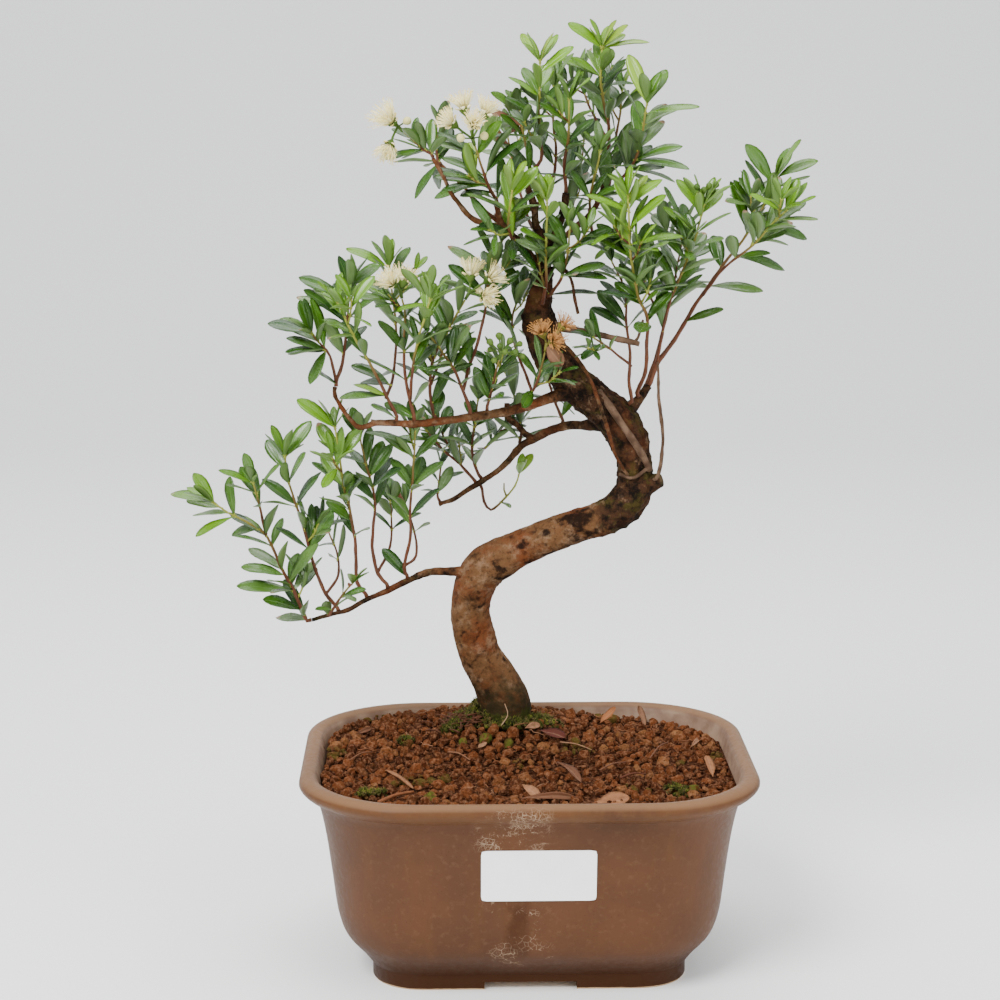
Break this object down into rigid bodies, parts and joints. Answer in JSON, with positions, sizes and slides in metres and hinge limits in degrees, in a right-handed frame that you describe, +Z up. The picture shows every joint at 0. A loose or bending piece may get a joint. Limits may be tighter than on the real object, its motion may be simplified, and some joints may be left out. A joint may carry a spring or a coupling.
{
  "type": "syzygium bonsai",
  "caption": "Flowering syzygium bonsai with an S-curved trunk, tiers of small leaves and a glazed rounded-rectangle pot of granular soil.",
  "frame": {"origin": "on the floor, below the middle of the bounding box of the tree and its pot", "axes": "+Z up, +X to the right of the front view, +Y away from it"},
  "size_m": [0.3152, 0.19, 0.4552],
  "materials": {
    "pot_glaze": "matt brown glaze with an ochre-brown lip and an unglazed foot edge",
    "label": "plain white sticker with nothing on it",
    "soil": "reddish-brown coarse clay grains",
    "drain_mesh": "black plastic netting",
    "bark": "tan to dark brown bark, rough and mossy higher up",
    "leaf": "glossy leathery green leaves, brighter at the tips",
    "flower": "fine cream stamens on green cups",
    "bud": "green buds on thin stalks",
    "dry_plant": "dry orange-brown leaves, stick and spent flowers"
  },
  "bodies": {
    "root": {"back_spray_1": "leaf", "back_spray_2": "leaf", "back_spray_3": "leaf", "back_spray_4": "leaf", "back_spray_5": "leaf", "back_spray_6": "leaf", "blank_label": "label", "buds_middle": "bud", "crown_spray_1": "leaf", "crown_spray_10": "leaf", "crown_spray_11": "leaf", "crown_spray_12": "leaf", "crown_spray_13": "leaf", "crown_spray_14": "leaf", "crown_spray_15": "leaf", "crown_spray_16": "leaf", "crown_spray_2": "leaf", "crown_spray_3": "leaf", "crown_spray_4": "leaf", "crown_spray_5": "leaf", "crown_spray_6": "leaf", "crown_spray_7": "leaf", "crown_spray_8": "leaf", "crown_spray_9": "leaf", "drain_mesh_left": "drain_mesh", "drain_mesh_right": "drain_mesh", "dry_flowers": "dry_plant", "fallen_leaf_1": "dry_plant", "fallen_leaf_2": "dry_plant", "fallen_leaf_3": "dry_plant", "fallen_leaf_4": "dry_plant", "fallen_leaf_5": "dry_plant", "fallen_leaf_6": "dry_plant", "fallen_stick": "dry_plant", "flowers_crown": "flower", "flowers_far_left": "flower", "flowers_middle": "flower", "flowers_middle_left": "flower", "lower_left_spray_1": "leaf", "lower_left_spray_2": "leaf", "lower_left_spray_3": "leaf", "lower_left_spray_4": "leaf", "lower_left_spray_5": "leaf", "lower_left_spray_6": "leaf", "middle_left_spray_1": "leaf", "middle_left_spray_2": "leaf", "middle_left_spray_3": "leaf", "middle_left_spray_4": "leaf", "middle_left_spray_5": "leaf", "middle_left_spray_6": "leaf", "middle_left_spray_7": "leaf", "pot": "pot_glaze", "right_spray_1": "leaf", "right_spray_2": "leaf", "right_spray_3": "leaf", "right_spray_4": "leaf", "soil": "soil", "trunk_and_branches": "bark"}
  },
  "joints": []
}
